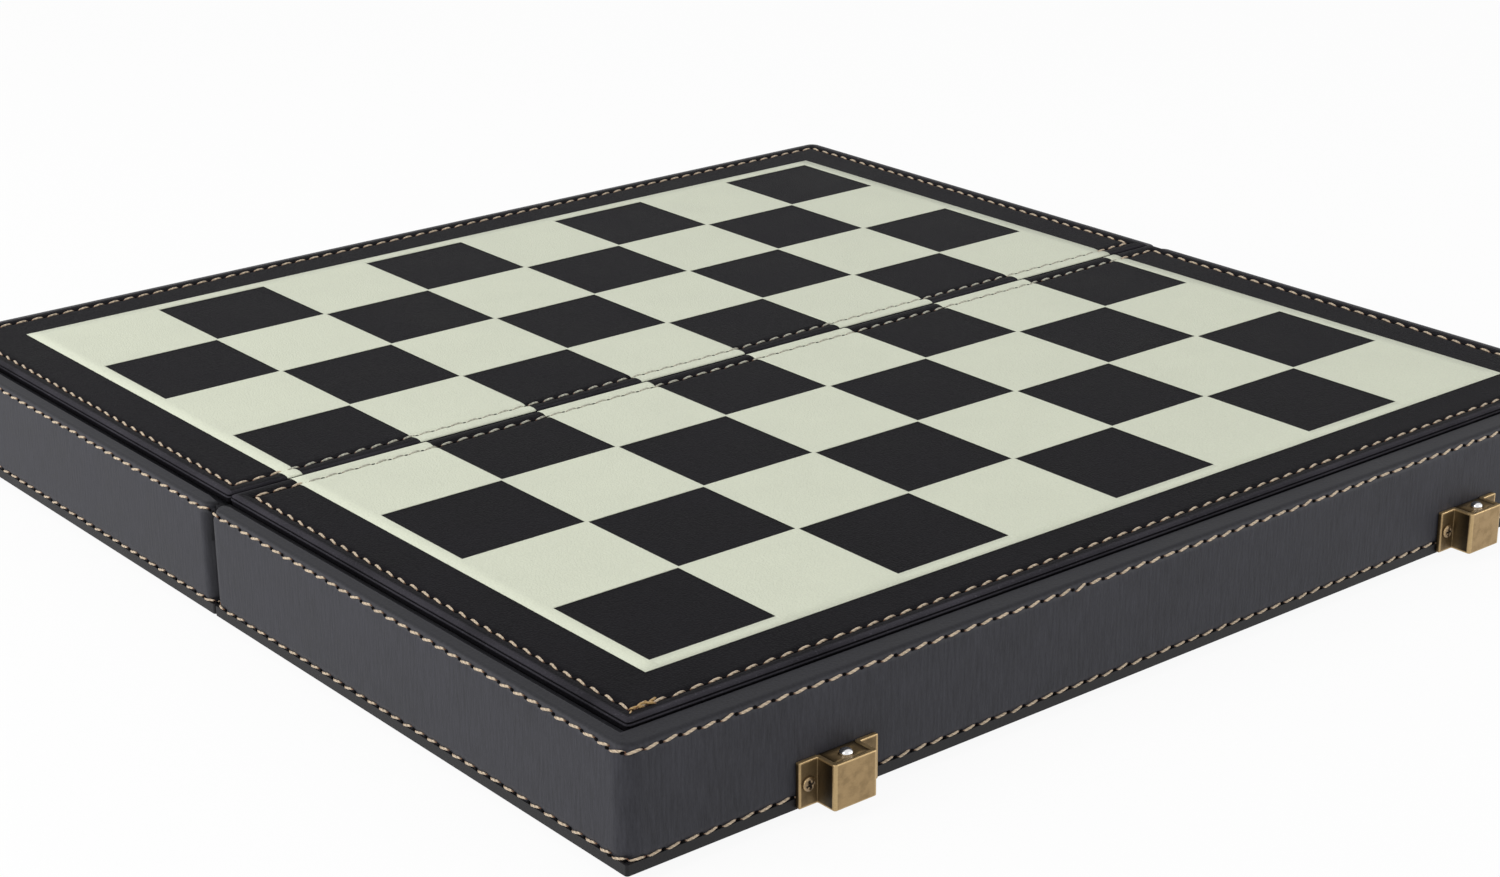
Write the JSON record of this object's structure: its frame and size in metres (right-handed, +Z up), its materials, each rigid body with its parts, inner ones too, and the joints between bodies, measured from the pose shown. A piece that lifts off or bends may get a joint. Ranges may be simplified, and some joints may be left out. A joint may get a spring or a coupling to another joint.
{
  "type": "folding chess board",
  "caption": "Folding chess board box in two hinged halves: leather-look cover with ivory squares and stitched edges, push-button latches and flocked foam inserts for chessmen.",
  "frame": {"origin": "under the middle of the seam, at the lowest point of the open board (the tips of the strikes)", "axes": "+X along the seam, +Y from the latch half to the catch half, +Z up through the playing surface"},
  "size_m": [0.3, 0.312, 0.03],
  "materials": {
    "board": "raw fibreboard",
    "black_leather": "fine grained, satin",
    "side_leather": "fine grained, satin",
    "rim_trim": "smooth edge, satin",
    "ivory_print": "printed over fine grain, satin",
    "flocked_lining": "short velvet flock",
    "flocked_foam": "short velvet flock on foam",
    "antique_brass": "antiqued, satin",
    "hinge_brass": "satin",
    "screw_metal": "antiqued, satin",
    "bright_button": "polished",
    "spring_steel": "plain"
  },
  "bodies": {
    "latch_half": {"latch_half_panel_core": "board", "latch_half_playing_leather": "black_leather", "latch_half_ivory_squares": "ivory_print", "latch_half_side_leather": "side_leather", "latch_half_rim_trim": "rim_trim", "latch_half_floor_lining": "flocked_lining", "latch_half_outer_wall": "board", "latch_half_hinge_wall": "board", "latch_half_left_wall": "board", "latch_half_right_wall": "board", "latch_half_officer_foam": "flocked_foam", "latch_half_pawn_foam": "flocked_foam", "left_hinge_latch_leaf": "hinge_brass", "left_hinge_pin": "hinge_brass", "right_hinge_latch_leaf": "hinge_brass", "right_hinge_pin": "hinge_brass", "hinge_screws_latch_half": "hinge_brass", "left_latch_housing": "antique_brass", "left_latch_spring": "spring_steel", "left_lever_pivot_pin": "spring_steel", "right_latch_housing": "antique_brass", "right_latch_spring": "spring_steel", "right_lever_pivot_pin": "spring_steel", "latch_screws": "screw_metal"},
    "catch_half": {"catch_half_panel_core": "board", "catch_half_playing_leather": "black_leather", "catch_half_ivory_squares": "ivory_print", "catch_half_side_leather": "side_leather", "catch_half_rim_trim": "rim_trim", "catch_half_floor_lining": "flocked_lining", "catch_half_outer_wall": "board", "catch_half_hinge_wall": "board", "catch_half_left_wall": "board", "catch_half_right_wall": "board", "catch_half_officer_foam": "flocked_foam", "catch_half_pawn_foam": "flocked_foam", "left_hinge_catch_leaf": "hinge_brass", "right_hinge_catch_leaf": "hinge_brass", "hinge_screws_catch_half": "hinge_brass", "left_strike": "antique_brass", "right_strike": "antique_brass", "strike_screws": "screw_metal"},
    "left_button": {"left_latch_button": "bright_button"},
    "left_lever": {"left_catch_lever": "spring_steel"},
    "right_button": {"right_latch_button": "bright_button"},
    "right_lever": {"right_catch_lever": "spring_steel"}
  },
  "joints": [
    {"name": "fold", "type": "hinge", "parent": "latch_half", "child": "catch_half", "pos_m": [0, 0, 0.0028], "axis": [-1, 0, 0], "range_deg": [0, 180]},
    {"name": "left_button_press", "type": "slide", "parent": "latch_half", "child": "left_button", "axis": [0, 0, -1], "range_m": [0, 0.0008], "stiffness_N_per_m": 400, "springref_m": -0.0008, "deforming": ["left_latch_spring"]},
    {"name": "left_lever_tilt", "type": "hinge", "parent": "latch_half", "child": "left_lever", "pos_m": [-0.1003, -0.1539, 0.0055], "axis": [-1, 0, 0], "range_deg": [0, 23]},
    {"name": "right_button_press", "type": "slide", "parent": "latch_half", "child": "right_button", "axis": [0, 0, -1], "range_m": [0, 0.0008], "stiffness_N_per_m": 400, "springref_m": -0.0008, "deforming": ["right_latch_spring"]},
    {"name": "right_lever_tilt", "type": "hinge", "parent": "latch_half", "child": "right_lever", "pos_m": [0.091, -0.1539, 0.0055], "axis": [-1, 0, 0], "range_deg": [0, 23]}
  ],
  "couplings": [
    {"joint": "left_lever_tilt", "follows": "left_button_press", "rad_per_m": 500.78},
    {"joint": "right_lever_tilt", "follows": "right_button_press", "rad_per_m": 500.78}
  ]
}
